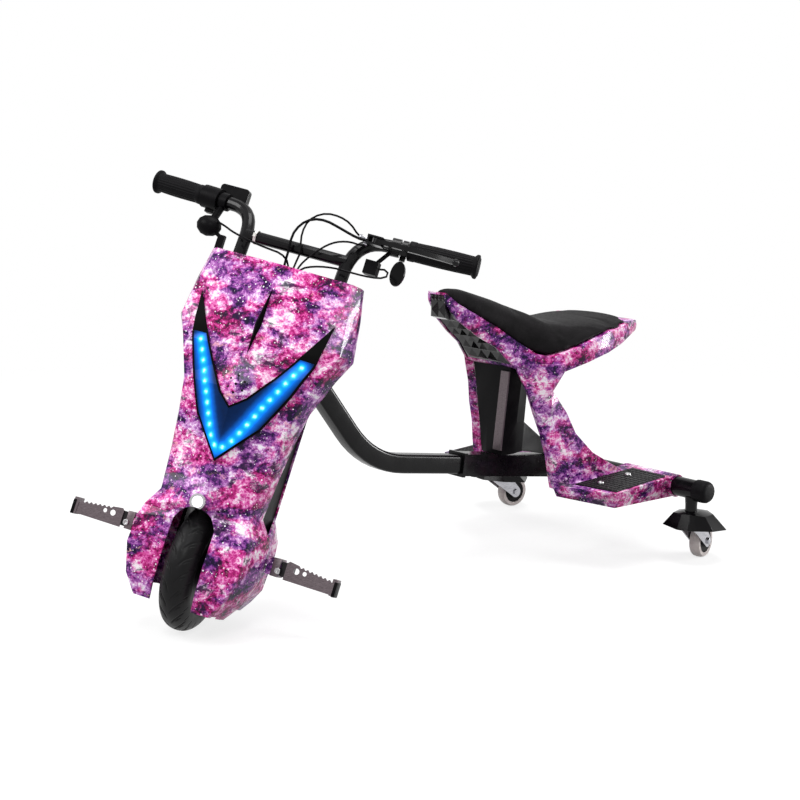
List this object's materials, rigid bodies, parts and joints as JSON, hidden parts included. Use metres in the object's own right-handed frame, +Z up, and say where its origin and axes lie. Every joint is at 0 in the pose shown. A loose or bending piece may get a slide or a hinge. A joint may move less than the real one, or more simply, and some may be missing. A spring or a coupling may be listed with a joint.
{
  "type": "drift scooter",
  "caption": "Ride-on drift scooter: steered leaning front with hub-motor wheel and lit fairing, telescoping beam, saddle on twisted legs, swivel casters behind.",
  "frame": {"origin": "middle of the outline on the ground", "axes": "+Z up, -Y to the front, +X to the rider's left"},
  "size_m": [0.6308, 1.1118, 0.7248],
  "materials": {
    "printed_shell": "gloss, galaxy print under clear coat",
    "black_plastic": "satin moulded",
    "black_paint": "gloss",
    "black_rubber": "matte",
    "front_tyre": "matte",
    "seat_cover": "fine grain",
    "steel_sheet": "satin",
    "caster_chrome": "polished",
    "white_tread": "satin",
    "white_nylon": "satin",
    "blue_lens": "clear blue over lights",
    "lamp_lens": "clear"
  },
  "bodies": {
    "frame": {"rear_sleeve": "black_paint", "sleeve_bolt": "steel_sheet", "cross_tube": "black_paint", "tube_cap_left": "black_rubber", "tube_cap_right": "black_rubber", "seat_shell": "printed_shell", "pyramid_panel": "black_plastic", "seat_base": "black_plastic", "seat_cushion": "seat_cover", "column_cover": "black_plastic", "column_strap": "steel_sheet", "rear_gusset": "black_plastic", "leg_cover_left": "printed_shell", "leg_cover_right": "printed_shell", "foot_pad_left": "black_rubber", "foot_pad_right": "black_rubber"},
    "beam": {"main_tube": "black_paint"},
    "steered_front": {"steerer_fork": "black_paint", "front_axle": "steel_sheet", "fairing_front": "printed_shell", "fairing_inner": "black_plastic", "fairing_tail": "printed_shell", "light_lens": "blue_lens", "light_trim": "black_plastic", "centre_blade": "black_plastic", "lamp_ring": "steel_sheet", "lamp_lens": "lamp_lens", "handlebar": "black_paint", "grip_left": "black_rubber", "throttle_housing": "black_plastic", "display_case": "black_plastic", "switch_pod": "black_plastic", "brake_perch": "black_paint", "bell_clamp": "black_plastic", "horn_box": "black_plastic", "zip_tie": "white_nylon", "cable_brake": "black_rubber", "cable_brake_switch": "black_rubber", "cable_lever": "black_rubber", "cable_throttle": "black_rubber", "cable_horn": "black_rubber", "peg_bracket_left": "printed_shell", "peg_bracket_right": "printed_shell"},
    "front_wheel": {"front_tyre": "front_tyre", "front_hub": "black_paint"},
    "twist_grip": {"grip_throttle": "black_rubber"},
    "brake_lever": {"brake_lever": "black_paint"},
    "thumb_paddle": {"bell_paddle": "black_plastic"},
    "peg_left": {"peg_block_left": "steel_sheet", "peg_blade_left": "steel_sheet"},
    "peg_right": {"peg_block_right": "steel_sheet", "peg_blade_right": "steel_sheet"},
    "caster_left": {"caster_fork_left": "caster_chrome", "caster_hood_left": "black_plastic"},
    "caster_right": {"caster_fork_right": "caster_chrome", "caster_hood_right": "black_plastic"},
    "caster_wheel_left": {"caster_tyre_left": "white_tread", "caster_hub_left": "black_plastic"},
    "caster_wheel_right": {"caster_tyre_right": "white_tread", "caster_hub_right": "black_plastic"}
  },
  "joints": [
    {"name": "beam_slide", "type": "slide", "parent": "frame", "child": "beam", "axis": [0, -0.9884, 0.1521], "range_m": [-0.06, 0.06]},
    {"name": "steering", "type": "hinge", "parent": "beam", "child": "steered_front", "pos_m": [-0.00021, -0.2691, 0.47165], "axis": [0, 0.3891, 0.9212], "range_deg": [-90, 20]},
    {"name": "front_wheel_spin", "type": "hinge", "parent": "steered_front", "child": "front_wheel", "pos_m": [0.00438, -0.43156, 0.10388], "axis": [0.8192, 0.5284, -0.2232], "continuous": true},
    {"name": "throttle_twist", "type": "hinge", "parent": "steered_front", "child": "twist_grip", "pos_m": [-0.20941, -0.30327, 0.6938], "axis": [-0.886, -0.4039, 0.2276], "range_deg": [0, 60], "stiffness_Nm_per_rad": 0.3, "springref_deg": -11.46},
    {"name": "brake_lever_pull", "type": "hinge", "parent": "steered_front", "child": "brake_lever", "pos_m": [0.12103, -0.15401, 0.62006], "axis": [0, 0.3891, 0.9212], "range_deg": [0, 11], "stiffness_Nm_per_rad": 2, "springref_deg": -11.46},
    {"name": "paddle_push", "type": "hinge", "parent": "steered_front", "child": "thumb_paddle", "pos_m": [0.12806, -0.10959, 0.57523], "axis": [0, 0.3891, 0.9212], "range_deg": [-15, 15], "stiffness_Nm_per_rad": 0.2},
    {"name": "peg_left_fold", "type": "hinge", "parent": "steered_front", "child": "peg_left", "pos_m": [0.10759, -0.3502, 0.11076], "axis": [0.5736, -0.7546, 0.3188], "range_deg": [0, 75]},
    {"name": "peg_right_fold", "type": "hinge", "parent": "steered_front", "child": "peg_right", "pos_m": [-0.09884, -0.48335, 0.16701], "axis": [-0.5736, 0.7546, -0.3188], "range_deg": [0, 75]},
    {"name": "caster_left_swivel", "type": "hinge", "parent": "frame", "child": "caster_left", "pos_m": [0.26279, 0.47727, 0.08], "axis": [0, 0, 1], "continuous": true},
    {"name": "caster_left_roll", "type": "hinge", "parent": "caster_left", "child": "caster_wheel_left", "pos_m": [0.25062, 0.52267, 0.03175], "axis": [-0.9659, -0.2588, 0], "continuous": true},
    {"name": "caster_right_swivel", "type": "hinge", "parent": "frame", "child": "caster_right", "pos_m": [-0.26321, 0.47727, 0.08], "axis": [0, 0, 1], "continuous": true},
    {"name": "caster_right_roll", "type": "hinge", "parent": "caster_right", "child": "caster_wheel_right", "pos_m": [-0.2583, 0.52401, 0.03175], "axis": [-0.9945, 0.1045, 0], "continuous": true}
  ]
}
